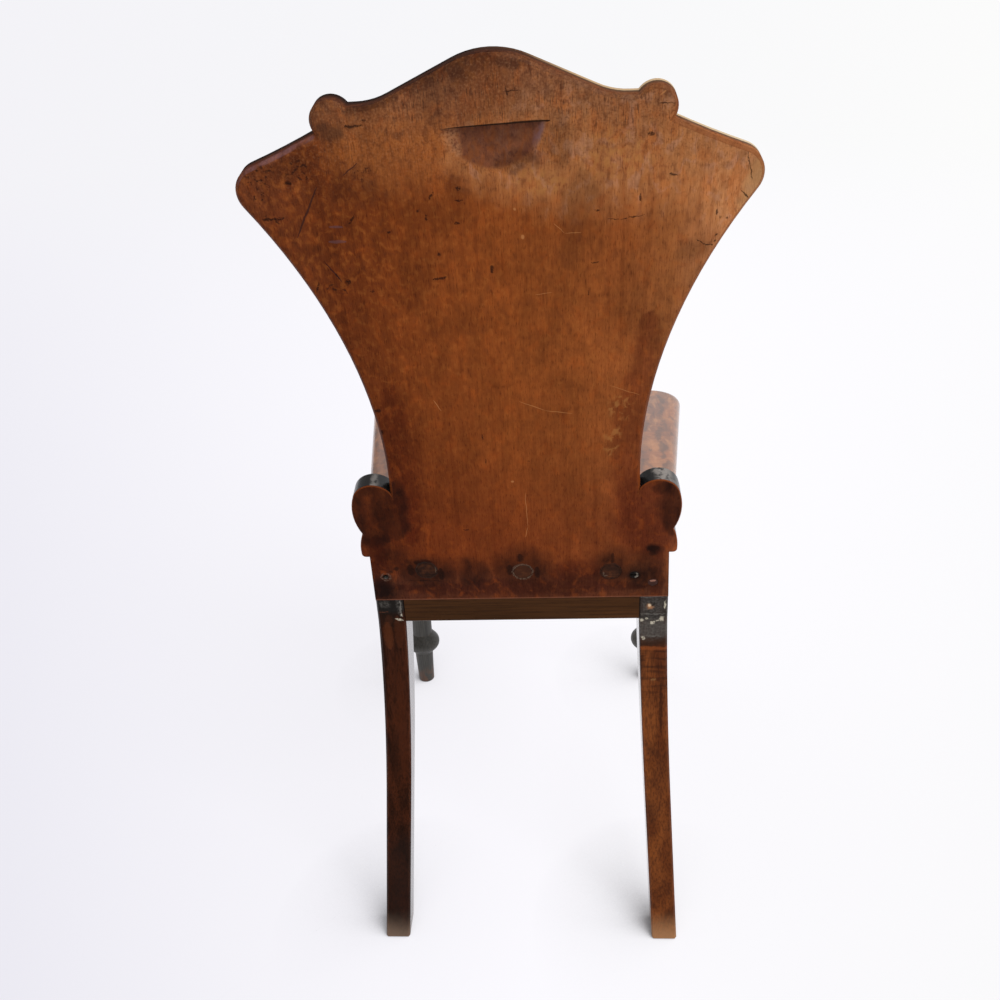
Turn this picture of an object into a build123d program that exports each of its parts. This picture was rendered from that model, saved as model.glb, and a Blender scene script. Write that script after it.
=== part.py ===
from build123d import *
import math
import os

# Hall chair in solid mahogany. A shaped plank back stands in a rebate across the heads of two
# sabre rear legs and the rear rail. A plank seat lies on a tenoned frame with turned front legs.
# Millimetres, +Z up. The chair faces -Y and the sitter's left is +X. The origin is on the floor
# below the middle of the overall box. Reaches are measured forwards from the back plane, which
# is the rear face of the rear rail.

# Seat plank
seat_height = 440.0
seat_thickness = 22.0
seat_front_width = 404.0
seat_front_reach = 373.5
seat_overhang = 14.0
seat_back_overhang = 1.75
seat_corner_radius = 38.0
seat_top_round = 9.0
seat_under_bevel = 4.0

# Back board, its thickness and stand
board_thickness = 20.0
board_recline = 12.0
board_foot_drop = 78.0
board_front_bevel = 4.0
board_rear_bevel = 2.5
scroll_front_bevel = 1.5
scroll_rear_bevel = 1.0

# Back board outline, as widths across and rises up the board from its foot. The ears spread a
# little wider than the front of the seat. Crest, volutes and ears are set out from the dip
# between crest and volute.
board_foot_width = 298.0
board_foot_taper = 2.5
ledge_rise = 60.0
ledge_step = 7.5
ledge_corner_round = 4.0
small_scroll_rise = 30.5
small_scroll_bulge = 1.5
scroll_notch = 4.5
scroll_spacing = 266.0
scroll_rise = 130.5
scroll_radius = 20.0
scroll_shoulder_angle = 20.0
waist_width = 230.0
waist_rise = 170.0
ear_extra_width = 9.8
ear_drop = 48.8
ear_tip_radius = 20.0
ear_root_drop = 10.8
ear_top_sag = 1.8
volute_spacing = 231.0
volute_drop = 8.8
volute_radius = 15.0
dip_rise = 490.3
dip_radius = 54.6
crest_lift = 32.4
crest_radius = 65.4
crest_slope = 24.4

# Finger grip scooped in the rear face below the crest
grip_width = 78.0
grip_drop = 34.0
grip_depth = 8.0
grip_below_crest = 48.2
grip_tilt = 1.8

# Sabre rear legs
rear_leg_width = 29.0
rear_foot_width = 26.0
rear_foot_splay = 8.0
rear_leg_depth = 43.0
rear_foot_length = 32.0
rear_foot_reach = 118.0
sabre_angle = 27.0
leg_arris_bevel = 1.8

# Turned front legs
front_leg_square = 48.0
peg_height = 51.5
peg_foot_diameter = 22.4
peg_foot_bevel = 1.5
peg_top_diameter = 26.0
ball_diameter = 48.0
ball_height = 33.0
ball_side_radius = 11.5
ball_flank_angle = 42.0
ankle_diameter = 29.0
ankle_height = 8.0
shaft_top_diameter = 37.0

# Seat frame
rail_thickness = 22.0
rail_height = 68.0
rail_setback = 3.0
rear_rail_lip = 27.0
rail_arris_bevel = 1.2
tenon_thickness = 10.0
tenon_length = 18.0
tenon_shoulder = 6.0
rear_tenon_height = 30.0
side_tenon_height = 32.0
front_tenon_height = 50.0
tenon_clearance = 0.1
mortise_end_clearance = 1.0

# Corner blocks
block_leg = 66.0
block_height = 40.0
block_leg_clearance = 0.3

# Screws, pellets and plug
screw_head_diameter = 9.0
screw_head_height = 2.8
screw_shank_diameter = 4.5
screw_sides = 12
screw_slot_width = 1.2
screw_slot_depth = 1.2
screw_clearance = 0.1
board_screw_length = 34.0
pellet_diameter = 20.0
pellet_depth = 8.0
plug_diameter = 9.4
plug_depth = 6.0
plug_clearance = 0.15
empty_hole_diameter = 6.0
empty_hole_depth = 24.0

# Places of the fastenings on the rear face: across from the middle, then up from the foot.
# They were set out by hand, so they are not quite in line.
pellet_places = {"left": (-92.0, 41.5), "middle": (3.7, 37.2), "right": (90.6, 35.8)}
repair_screw_place = (114.0, 30.6)
leg_plug_place = (132.5, 20.0)
empty_hole_place = (-134.0, 33.0)

# Planes and heights that the pieces share
back_plane = (seat_front_reach - rear_foot_reach) / 2
seat_underside = seat_height - seat_thickness
seat_back_width = board_foot_width + 2 * seat_back_overhang
board_foot_height = seat_height - board_foot_drop
rail_bottom = seat_underside - rail_height
rear_rail_bottom = board_foot_height - rear_rail_lip
knee_height = rear_rail_bottom
rear_leg_outer = board_foot_width / 2
rear_leg_inner = rear_leg_outer - rear_leg_width
front_leg_outer = seat_front_width / 2 - seat_overhang
front_leg_inner = front_leg_outer - front_leg_square
front_leg_centre = (front_leg_outer + front_leg_inner) / 2
front_leg_reach = seat_front_reach - seat_overhang - front_leg_square / 2
front_leg_back = front_leg_reach - front_leg_square / 2
front_rail_face = front_leg_reach + front_leg_square / 2 - rail_setback
front_rail_inner = front_rail_face - rail_thickness
rear_rail_front = rear_leg_depth - rail_setback
mortise_depth = tenon_length + mortise_end_clearance

lean = math.radians(board_recline)
board_plane = Plane(
    origin=(0, back_plane, board_foot_height),
    x_dir=(-1, 0, 0),
    z_dir=(0, math.cos(lean), -math.sin(lean)),
)


def plan(*places):
    """A flat face at floor level through places given as (across, reach)."""
    return make_face(Polyline([(across, back_plane - reach) for across, reach in places], close=True))


def standing(face, low, high):
    """A plan face carried up between two heights."""
    return extrude(Pos(0, 0, low) * face, amount=high - low, dir=(0, 0, 1))


def opposite(piece):
    """The same piece for the sitter's other side."""
    return mirror(piece, about=Plane.YZ)


def drill(diameter, depth):
    """A round bar that goes down from the origin, as a plug or as the room that a bit leaves."""
    return Pos(0, 0, -depth / 2) * Cylinder(diameter / 2, depth)


def wood_screw(length):
    """A slotted screw that points down -Z, the top of its head at the origin."""
    head = extrude(RegularPolygon(screw_head_diameter / 2, screw_sides), amount=-screw_head_height)
    shank = extrude(RegularPolygon(screw_shank_diameter / 2, screw_sides), amount=-length)
    slot = Box(screw_head_diameter, screw_slot_width, 2 * screw_slot_depth)
    return head + shank - slot


def screw_hole(bore, head_depth, length):
    """A bore from the face down to the underside of a sunk head, then the room for its shank."""
    shank = drill(screw_shank_diameter + 2 * screw_clearance, head_depth + length + screw_clearance)
    return drill(bore, head_depth + screw_head_height) + shank


# Back board outline
crest_rise = dip_rise + crest_lift
volute_rise = dip_rise - volute_drop
ledge_outer = board_foot_width / 2 - board_foot_taper + ledge_step
notch_rise = ledge_rise + small_scroll_rise
notch = (ledge_outer - scroll_notch, notch_rise)
lobe_root = waist_width / 2 - scroll_radius


def mirrored_half(edges):
    """A face from the right-hand half of an outline that starts and ends on the middle line."""
    half = Curve() + edges
    return make_face(half + mirror(half, about=Plane.YZ))


def board_body():
    """The plank without its scrolls and volutes: foot, flared sides, ears and crest."""
    foot = board_foot_width / 2
    ledge = foot - board_foot_taper
    waist = waist_width / 2
    ear = ((seat_front_width + ear_extra_width) / 2, dip_rise - ear_drop)
    flare, climb = ear[0] - waist, ear[1] - waist_rise
    side_radius = (flare**2 + climb**2) / (2 * flare)

    def side(rise):
        return waist + side_radius - math.sqrt(side_radius**2 - (rise - waist_rise) ** 2)

    root = (volute_spacing / 2, dip_rise - ear_root_drop)
    crest_arc = JernArc((0, crest_rise), (1, 0), crest_radius, -crest_slope)
    shoulder = crest_arc @ 1
    flank_run = (shoulder.Y - dip_rise) / math.tan(math.radians(crest_slope))
    dip = (shoulder.X + flank_run, dip_rise)
    face = mirrored_half(
        [
            Line((0, 0), (foot, 0)),
            Line((foot, 0), (ledge, ledge_rise)),
            Line((ledge, ledge_rise), (ledge, notch_rise)),
            Line((ledge, notch_rise), (side(notch_rise), notch_rise)),
            ThreePointArc((side(notch_rise), notch_rise), (waist, waist_rise), ear),
            SagittaArc(ear, root, ear_top_sag),
            Line(root, (volute_spacing / 2, dip_rise)),
            Line((volute_spacing / 2, dip_rise), dip),
            Line(dip, shoulder),
            crest_arc,
        ]
    )
    for corner, radius in ((dip, dip_radius), (ear, ear_tip_radius)):
        right = face.vertices().sort_by_distance((*corner, 0))[0]
        left = face.vertices().sort_by_distance((-corner[0], corner[1], 0))[0]
        face = fillet([left, right], radius)
    return face


def small_lobe():
    """The right-hand lobe of the foot scroll that stands on the ledge, below the notch."""
    corner = ledge_corner_round
    middle = (
        ledge_outer - scroll_notch / 2 + small_scroll_bulge,
        ledge_rise + (corner + small_scroll_rise) / 2,
    )
    return make_face(
        [
            Line((lobe_root, ledge_rise), (ledge_outer - corner, ledge_rise)),
            RadiusArc((ledge_outer - corner, ledge_rise), (ledge_outer, ledge_rise + corner), -corner),
            ThreePointArc((ledge_outer, ledge_rise + corner), middle, notch),
            Line(notch, (lobe_root, scroll_rise)),
            Line((lobe_root, scroll_rise), (lobe_root, ledge_rise)),
        ]
    )


def large_lobe():
    """The right-hand round lobe of the foot scroll, with its long flank down to the notch."""
    turn = math.radians(scroll_shoulder_angle)
    centre = (scroll_spacing / 2, scroll_rise)
    shoulder = (centre[0] + scroll_radius * math.cos(turn), centre[1] + scroll_radius * math.sin(turn))
    inner = (centre[0] - scroll_radius, scroll_rise)
    return make_face(
        [
            TangentArc(shoulder, notch, tangent=(math.sin(turn), -math.cos(turn))),
            CenterArc(centre, scroll_radius, scroll_shoulder_angle, 180 - scroll_shoulder_angle),
            Line(inner, (lobe_root, scroll_rise)),
            Line((lobe_root, scroll_rise), (lobe_root, ledge_rise)),
            Line((lobe_root, ledge_rise), notch),
        ]
    )


def finger_grip():
    """A round scoop with a straight upper edge, deepest under that edge."""
    half = grip_width / 2
    rim_radius = (half**2 + grip_drop**2) / (2 * grip_drop)
    rim_centre = rim_radius - grip_drop
    ball_radius = (rim_radius**2 + grip_depth**2) / (2 * grip_depth)
    ball = Pos(0, rim_centre, ball_radius - grip_depth) * Sphere(ball_radius)
    below_edge = Pos(0, -grip_width / 2, 0) * Box(2 * grip_width, grip_width, 4 * grip_depth)
    return Pos(0, crest_rise - grip_below_crest, 0) * Rot(0, 0, grip_tilt) * (ball & below_edge)


def on_board(place, depth=0.0):
    """A place on the rear face, sunk by a depth, in the board's own frame."""
    return Pos(place[0], place[1], -depth)


def plank(face, is_eased, front_bevel=board_front_bevel, rear_bevel=board_rear_bevel):
    """A flat outline made a plank, rear face at Z 0, with the arrises that show eased."""
    solid = extrude(face, amount=-board_thickness)
    for place, bevel in ((0, front_bevel), (-1, rear_bevel)):
        edges = solid.faces().sort_by(Axis.Z)[place].edges()
        solid = chamfer([edge for edge in edges if is_eased(edge.center())], bevel)
    return solid


def back_board_flat():
    """The board lying flat: its rear face at Z 0 and its front face below."""
    board = plank(board_body(), lambda middle: middle.Y > scroll_rise)
    lobe_middle = scroll_rise + scroll_radius / 2
    scroll_bevels = (scroll_front_bevel, scroll_rear_bevel)
    lobes = [
        plank(small_lobe(), lambda middle: middle.X > notch[0], *scroll_bevels),
        plank(large_lobe(), lambda middle: middle.X > notch[0] or middle.Y > lobe_middle, *scroll_bevels),
        plank(Pos(volute_spacing / 2, volute_rise) * Circle(volute_radius), lambda middle: True),
    ]
    for lobe in lobes:
        board += [lobe, mirror(lobe, about=Plane.YZ)]
    return board - finger_grip()


# Holes through the rear face, in the board's own frame
pellet_bore = pellet_diameter + 2 * plug_clearance
plug_bore = plug_diameter + 2 * plug_clearance
bare_bore = screw_head_diameter + 2 * screw_clearance
rail_holes = [
    on_board(place) * screw_hole(pellet_bore, pellet_depth, board_screw_length)
    for place in pellet_places.values()
]
rail_holes.append(on_board(repair_screw_place) * screw_hole(bare_bore, 0, board_screw_length))
leg_plug_hole = on_board(leg_plug_place) * drill(plug_bore, plug_depth)
empty_hole = on_board(empty_hole_place) * drill(empty_hole_diameter, empty_hole_depth)

back_board = board_plane * (back_board_flat() - rail_holes - [leg_plug_hole, empty_hole])

# The room that the board takes, and all behind it, for the rebate in what carries it
rebate = board_plane * (
    Pos(0, crest_rise / 2, (crest_rise - board_thickness) / 2)
    * Box(2 * seat_front_width, crest_rise, crest_rise + board_thickness)
)


# Seat plank, bevelled at the rear to lie against the board
def seat_board():
    back = seat_back_width / 2
    front = seat_front_width / 2
    face = plan((-back, 0), (back, 0), (front, seat_front_reach), (-front, seat_front_reach))
    face = fillet(face.vertices().group_by(Axis.Y)[0], seat_corner_radius)
    seat = standing(face, seat_underside, seat_height)
    seat = fillet(seat.faces().sort_by(Axis.Z)[-1].edges().sort_by(Axis.Y)[:-1], seat_top_round)
    seat = chamfer(seat.faces().sort_by(Axis.Z)[0].edges().sort_by(Axis.Y)[:-1], seat_under_bevel)
    return seat - rebate


# Side rails follow the spread of the seat, so their ends are cut on the splay
side_rail_run = front_leg_back - rear_leg_depth
side_rail_spread = front_leg_outer - rear_leg_outer
splay = math.atan2(side_rail_spread, side_rail_run)
side_rail_cut = rail_thickness / math.cos(splay)


def side_rail_outer(reach):
    """How far from the middle the left side rail's outer face is, at a reach."""
    return rear_leg_outer - rail_setback + (reach - rear_leg_depth) * math.tan(splay)


def side_rail_inner(reach):
    return side_rail_outer(reach) - side_rail_cut


def side_tenon(reach_from, reach_to, room=0.0):
    """The stretch of the left side rail's tenon between two reaches."""
    half = tenon_thickness / 2 / math.cos(splay) + room
    middle_from = (side_rail_outer(reach_from) + side_rail_inner(reach_from)) / 2
    middle_to = (side_rail_outer(reach_to) + side_rail_inner(reach_to)) / 2
    face = plan(
        (middle_from - half, reach_from), (middle_from + half, reach_from),
        (middle_to + half, reach_to), (middle_to - half, reach_to),
    )
    top = seat_underside - tenon_shoulder
    return standing(face, top - side_tenon_height - room, top + room)


def cross_tenon(across_from, across_to, reach, low, height, room=0.0):
    """The stretch of a front or rear rail's tenon between two places across the chair."""
    half = tenon_thickness / 2 + room
    face = plan(
        (across_from, reach - half), (across_to, reach - half),
        (across_to, reach + half), (across_from, reach + half),
    )
    return standing(face, low - room, low + height + room)


def left_side_rail():
    low, high = rear_leg_depth, front_leg_back
    face = plan(
        (side_rail_inner(low), low), (side_rail_outer(low), low),
        (side_rail_outer(high), high), (side_rail_inner(high), high),
    )
    rail = standing(face, rail_bottom, seat_underside)
    lower_edges = rail.faces().sort_by(Axis.Z)[0].edges().filter_by(Axis.X, reverse=True)
    rail = chamfer(lower_edges, rail_arris_bevel)
    return rail + side_tenon(low - tenon_length, high + tenon_length)


front_tenon_reach = front_rail_face - rail_thickness / 2
front_tenon_low = seat_underside - tenon_shoulder - front_tenon_height
rear_tenon_reach = (board_thickness * math.cos(lean) + rear_rail_front) / 2
rear_tenon_low = rear_rail_bottom + tenon_shoulder


def front_rail():
    half = front_leg_inner
    face = plan(
        (-half, front_rail_inner), (half, front_rail_inner),
        (half, front_rail_face), (-half, front_rail_face),
    )
    rail = standing(face, rail_bottom, seat_underside)
    rail = chamfer(rail.faces().sort_by(Axis.Z)[0].edges().filter_by(Axis.X), rail_arris_bevel)
    tenon_end = half + tenon_length
    return rail + cross_tenon(-tenon_end, tenon_end, front_tenon_reach, front_tenon_low, front_tenon_height)


def rear_rail():
    half = rear_leg_inner
    face = plan((-half, 0), (half, 0), (half, rear_rail_front), (-half, rear_rail_front))
    rail = standing(face, rear_rail_bottom, seat_underside)
    rail = chamfer(rail.faces().sort_by(Axis.Z)[0].edges().filter_by(Axis.X), rail_arris_bevel)
    tenon_end = half + tenon_length
    rail += cross_tenon(-tenon_end, tenon_end, rear_tenon_reach, rear_tenon_low, rear_tenon_height)
    holes = [board_plane * hole for hole in rail_holes]
    return rail - rebate - holes


# Rear legs: the sabre sweep seen from the side, crossed with the splayed taper seen from behind
def sweep_radius(reach):
    """Radius that turns a plumb edge to the sabre angle and leads it straight to its foot."""
    turn = math.radians(sabre_angle)
    return (knee_height * math.tan(turn) - reach) / (1 / math.cos(turn) - 1)


def left_rear_leg():
    rear_top = back_plane
    front_top = back_plane - rear_leg_depth
    rear_foot = back_plane + rear_foot_reach
    front_foot = rear_foot - rear_foot_length
    rear_radius = sweep_radius(rear_foot - rear_top)
    front_radius = sweep_radius(front_foot - front_top)
    rear_sweep = JernArc((rear_top, knee_height), (0, -1), rear_radius, sabre_angle)
    front_sweep = JernArc((front_top, knee_height), (0, -1), front_radius, sabre_angle)
    side_view = make_face(
        [
            Line((rear_top, seat_underside), (rear_top, knee_height)),
            rear_sweep,
            Line(rear_sweep @ 1, (rear_foot, 0)),
            Line((rear_foot, 0), (front_foot, 0)),
            Line((front_foot, 0), front_sweep @ 1),
            front_sweep,
            Line((front_top, knee_height), (front_top, seat_underside)),
            Line((front_top, seat_underside), (rear_top, seat_underside)),
        ]
    )
    foot_outer = rear_leg_outer + rear_foot_splay
    foot_inner = foot_outer - rear_foot_width
    rear_view = make_face(
        Polyline(
            (rear_leg_inner, seat_underside), (rear_leg_outer, seat_underside),
            (rear_leg_outer, knee_height), (foot_outer, 0),
            (foot_inner, 0), (rear_leg_inner, knee_height),
            close=True,
        )
    )
    leg = extrude(Plane.YZ * side_view, amount=foot_outer) & extrude(
        Plane.XZ * rear_view, amount=seat_front_reach, both=True
    )
    below_knee = [edge for edge in leg.edges() if edge.center().Z < knee_height - rear_foot_length]
    sabre_edges = [edge for edge in below_knee if edge.length > rear_foot_length]
    leg = chamfer(sabre_edges + leg.faces().sort_by(Axis.Z)[0].edges(), leg_arris_bevel)
    leg -= rebate
    leg -= side_tenon(rear_leg_depth - mortise_depth, rear_leg_depth, tenon_clearance)
    mortise_end = rear_leg_inner + mortise_depth
    return leg - cross_tenon(
        rear_leg_inner, mortise_end, rear_tenon_reach, rear_tenon_low, rear_tenon_height, tenon_clearance
    )


# Front legs: a square head, then a turned taper, a flattened ball and a peg
def left_front_leg():
    foot = peg_foot_diameter / 2
    peg = peg_top_diameter / 2
    ball = ball_diameter / 2
    ankle = ankle_diameter / 2
    shaft = shaft_top_diameter / 2
    ball_middle = peg_height + ball_height / 2
    ball_top = peg_height + ball_height
    turn = math.radians(ball_flank_angle)
    flank = ball - ball_side_radius * (1 - math.cos(turn))
    flank_low = ball_middle - ball_side_radius * math.sin(turn)
    flank_high = ball_middle + ball_side_radius * math.sin(turn)
    profile = make_face(
        [
            Line((0, 0), (foot - peg_foot_bevel, 0)),
            Line((foot - peg_foot_bevel, 0), (foot, peg_foot_bevel)),
            Line((foot, peg_foot_bevel), (peg, peg_height)),
            Line((peg, peg_height), (flank, flank_low)),
            ThreePointArc((flank, flank_low), (ball, ball_middle), (flank, flank_high)),
            Line((flank, flank_high), (ankle, ball_top)),
            Line((ankle, ball_top), (ankle, ball_top + ankle_height)),
            Line((ankle, ball_top + ankle_height), (shaft, rail_bottom)),
            Line((shaft, rail_bottom), (0, rail_bottom)),
            Line((0, rail_bottom), (0, 0)),
        ]
    )
    turning = revolve(Plane.XZ * profile, axis=Axis.Z)
    head = standing(Rectangle(front_leg_square, front_leg_square), rail_bottom, seat_underside)
    leg = Pos(front_leg_centre, back_plane - front_leg_reach, 0) * (turning + head)
    leg -= side_tenon(front_leg_back, front_leg_back + mortise_depth, tenon_clearance)
    mortise_end = front_leg_inner + mortise_depth
    return leg - cross_tenon(
        front_leg_inner, mortise_end, front_tenon_reach, front_tenon_low, front_tenon_height, tenon_clearance
    )


# Corner blocks: a three-sided block glued in each corner of the frame and under the seat
def corner_block(corner, forwards):
    """A left-hand block. forwards is 1 where its cross rail is in front of it and -1 behind."""
    across, reach = corner
    tail = reach - forwards * block_leg
    face = plan((across - block_leg, reach), (across, reach), (side_rail_inner(tail), tail))
    block = standing(face, seat_underside - block_height, seat_underside)
    grown = front_leg_square + 2 * block_leg_clearance
    front_head = Box(grown, grown, 2 * block_height)
    block -= Pos(front_leg_centre, back_plane - front_leg_reach, seat_underside) * front_head
    rear_head = plan(
        (rear_leg_inner - block_leg_clearance, 0), (rear_leg_outer, 0),
        (rear_leg_outer, rear_leg_depth + block_leg_clearance),
        (rear_leg_inner - block_leg_clearance, rear_leg_depth + block_leg_clearance),
    )
    return block - standing(rear_head, rail_bottom, seat_underside)


front_block = corner_block((side_rail_inner(front_rail_inner), front_rail_inner), 1)
rear_block = corner_block((side_rail_inner(rear_rail_front), rear_rail_front), -1)


def group(solids):
    """Several like pieces kept as separate solids of one node."""
    return Compound([solid for piece in solids for solid in piece.solids()])


side_rail = left_side_rail()
rear_leg = left_rear_leg()
front_leg = left_front_leg()

nodes = {
    "back_board": back_board,
    "seat_board": seat_board(),
    "front_rail": front_rail(),
    "rear_rail": rear_rail(),
    "left_side_rail": side_rail,
    "right_side_rail": opposite(side_rail),
    "left_front_leg": front_leg,
    "right_front_leg": opposite(front_leg),
    "left_rear_leg": rear_leg - board_plane * empty_hole,
    "right_rear_leg": opposite(rear_leg),
    "front_left_corner_block": front_block,
    "front_right_corner_block": opposite(front_block),
    "rear_left_corner_block": rear_block,
    "rear_right_corner_block": opposite(rear_block),
    "back_screws": group(
        [
            board_plane * on_board(place, pellet_depth) * wood_screw(board_screw_length)
            for place in pellet_places.values()
        ]
    ),
    "repair_screw": board_plane * on_board(repair_screw_place) * wood_screw(board_screw_length),
    "leg_head_plug": board_plane * on_board(leg_plug_place) * drill(plug_diameter, plug_depth),
}
for side, place in pellet_places.items():
    nodes[f"{side}_pellet"] = board_plane * on_board(place) * drill(pellet_diameter, pellet_depth)

os.makedirs("parts", exist_ok=True)
for name, shape in nodes.items():
    export_step(shape, f"parts/{name}.step")
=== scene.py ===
import math
import bmesh
import bpy
from mathutils import Matrix, Vector

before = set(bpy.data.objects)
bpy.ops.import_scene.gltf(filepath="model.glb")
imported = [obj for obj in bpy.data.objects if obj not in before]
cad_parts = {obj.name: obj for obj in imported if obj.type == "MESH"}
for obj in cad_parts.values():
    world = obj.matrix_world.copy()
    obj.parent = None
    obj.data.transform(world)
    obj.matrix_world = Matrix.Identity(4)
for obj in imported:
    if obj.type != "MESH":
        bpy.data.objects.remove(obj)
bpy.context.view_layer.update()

# The turned front legs: mahogany turned between centres, then stained almost
# black and polished. A ball sits above a plain peg foot, and the square head
# above the shaft holds the front and side rails.


def shade(hex_colour):
    """The linear colour of a six-digit paint colour."""
    parts = [int(hex_colour[i:i + 2], 16) / 255 for i in (0, 2, 4)]
    linear = [c / 12.92 if c <= 0.04045 else ((c + 0.055) / 1.055) ** 2.4 for c in parts]
    return (*linear, 1.0)


def feed(tree, node, inputs):
    """Sets the inputs of a node in a finish, or links them to other nodes."""
    for name, value in inputs.items():
        if isinstance(value, bpy.types.NodeSocket):
            tree.links.new(value, node.inputs[name])
        else:
            node.inputs[name].default_value = value


def add(tree, kind, inputs=None, **settings):
    """A new node in a finish, with its settings, values and incoming links."""
    made = tree.nodes.new("ShaderNode" + kind)
    for name, value in settings.items():
        setattr(made, name, value)
    feed(tree, made, inputs or {})
    return made


def reckon(tree, operation, first, second=0.0):
    """One step of arithmetic on two numbers."""
    return add(tree, "Math", {0: first, 1: second}, operation=operation).outputs[0]


def both(tree, mask, *others):
    """Where several masks meet, as their product."""
    for other in others:
        mask = reckon(tree, "MULTIPLY", mask, other)
    return mask


def spread(tree, value, least, most, start=0.0, end=1.0):
    """A value between start and end, stretched to lie between two limits."""
    inputs = {"Value": value, "From Min": start, "From Max": end, "To Min": least, "To Max": most}
    return add(tree, "MapRange", inputs).outputs[0]


def fade(tree, value, start, end):
    """Nought up to start and one from end on, with an eased step between."""
    inputs = {"Value": value, "From Min": start, "From Max": end}
    return add(tree, "MapRange", inputs, interpolation_type="SMOOTHSTEP", clamp=False).outputs[0]


def tint(tree, amount, under, over, mode="MIX"):
    """Lays one colour over another by an amount."""
    inputs = {0: amount, 6: under, 7: over}
    return add(tree, "Mix", inputs, data_type="RGBA", blend_type=mode).outputs[2]


def figure(tree, place, width, length, along, detail=3.0, waver=0.0):
    """Streaks of a given width and length that run along one axis of the wood."""
    scale = [1 / width] * 3
    scale["XYZ".index(along)] = 1 / length
    streak = add(tree, "Mapping", {"Vector": place, "Scale": scale}).outputs[0]
    inputs = {"Vector": streak, "Scale": 1.0, "Detail": detail, "Distortion": waver}
    return add(tree, "TexNoise", inputs).outputs[0]


def agreeing(tree, direction, other):
    """How nearly two directions agree: one where they are the same, nought where they are square."""
    return add(tree, "VectorMath", {0: direction, 1: other}, operation="DOT_PRODUCT").outputs["Value"]


def arris(tree, reach):
    """One along the sharp edges of a piece, fading to nought on its flats."""
    eased = add(tree, "Bevel", {"Radius": reach}, samples=6).outputs[0]
    flat = add(tree, "NewGeometry").outputs["Normal"]
    return fade(tree, agreeing(tree, eased, flat), 0.995, 0.86)


def grained(tree, place, along, dark, middle, light, strength=0.5):
    """Plain mahogany: broad bands, fine streaks and the small dark pores."""
    bands = figure(tree, place, 0.022, 0.35, along, detail=2.0, waver=0.6)
    streaks = figure(tree, place, 0.0016, 0.060, along, detail=4.0)
    colour = tint(tree, fade(tree, bands, 0.30, 0.70), shade(middle), shade(light))
    lines = reckon(tree, "MULTIPLY", fade(tree, streaks, 0.58, 0.36), strength)
    colour = tint(tree, lines, colour, shade(dark))
    pores = fade(tree, figure(tree, place, 0.0007, 0.009, along, detail=1.0), 0.62, 0.74)
    colour = tint(tree, reckon(tree, "MULTIPLY", pores, strength), colour, shade(dark))
    return colour, streaks


def laid(tree, colour, mask, amount, over, mode="MIX"):
    """A colour with another laid over it, where a mask says and so strongly."""
    return tint(tree, reckon(tree, "MULTIPLY", mask, amount), colour, shade(over), mode)


def polish(tree, colour, height, roughness, coat, coat_roughness, shine=0.5, lift=0.00025, rounding=0.0):
    """Joins a colour and a fine surface to the shader under a coat of polish."""
    ripple = add(tree, "Bump", {"Height": height, "Strength": 0.35, "Distance": lift})
    if rounding:
        softened = add(tree, "Bevel", {"Radius": rounding}, samples=4).outputs[0]
        feed(tree, ripple, {"Normal": softened})
    feed(tree, tree.nodes["Principled BSDF"], {
        "Base Color": colour, "Roughness": roughness, "Specular IOR Level": shine,
        "Coat Weight": coat, "Coat Roughness": coat_roughness, "Normal": ripple.outputs[0],
    })


def finish_for(name, *nodes):
    """A new finish, laid on these solids."""
    finish = bpy.data.materials.new(name)
    finish.use_nodes = True
    for node in nodes:
        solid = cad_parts[node].data
        solid.materials.clear()
        solid.materials.append(finish)
    tree = finish.node_tree
    return tree, add(tree, "TexCoord").outputs["Object"]


tree, place = finish_for("black_stained_polish", "left_front_leg", "right_front_leg")
# The near-black stain is drawn in dark greys: partly the stain, partly painted sheen of the polish.
colour, streaks = grained(tree, place, "Z", "242220", "403E3A", "52504A", strength=0.4)
rubbed = both(tree, arris(tree, 0.003), figure(tree, place, 0.012, 0.012, "Z"))
colour = tint(tree, rubbed, colour, shade("5A4636"))
height = add(tree, "SeparateXYZ", {0: place}).outputs["Z"]
dust = figure(tree, place, 0.006, 0.010, "Z", detail=4.0)
worn = both(tree, fade(tree, height, 0.034, 0.006), fade(tree, dust, 0.35, 0.60))
colour = laid(tree, colour, worn, 0.7, "6E4C38")
roughness = spread(tree, dust, 0.46, 0.60)
polish(tree, colour, streaks, roughness, coat=0.15, coat_roughness=0.42, shine=0.3)

# The sabre rear legs: sawn from the plank and swept back to the floor, the left
# one dark with old polish and the right one worn to a redder brown. Both heads
# are black with dirt and crusted with old glue, and the feet are rubbed pale.

mm = 0.001


def oval(across, up, wide, tall):
    """An upright or level oval as its two foci and its lesser width."""
    focus = math.sqrt(abs(wide ** 2 - tall ** 2)) / 2
    if wide > tall:
        return (across - focus, up, across + focus, up, tall)
    return (across, up - focus, across, up + focus, wide)


def from_point(tree, place, across, up):
    """How far a place is from a point on a rear face that is given in millimetres."""
    inputs = {0: place, 1: (across * mm, up * mm, 0)}
    return add(tree, "VectorMath", inputs, operation="DISTANCE").outputs["Value"]


def patch(tree, place, across_a, up_a, across_b, up_b, width, soft):
    """A soft-edged oval or scratch between two foci on a rear face, in millimetres."""
    from_a, from_b = from_point(tree, place, across_a, up_a), from_point(tree, place, across_b, up_b)
    round_trip = reckon(tree, "ADD", from_a, from_b)
    between = math.hypot(across_b - across_a, up_b - up_a)
    outer = math.hypot(between, width * (1 + soft / 2)) * mm
    inner = math.hypot(between, width * (1 - soft)) * mm
    return fade(tree, round_trip, outer, inner)


def gathered(tree, place, patches, soft=0.6):
    """The strongest of many patches at each point of a rear face."""
    total = None
    for spot in patches:
        made = patch(tree, place, *spot, soft)
        total = made if total is None else reckon(tree, "MAXIMUM", total, made)
    return total


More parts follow.
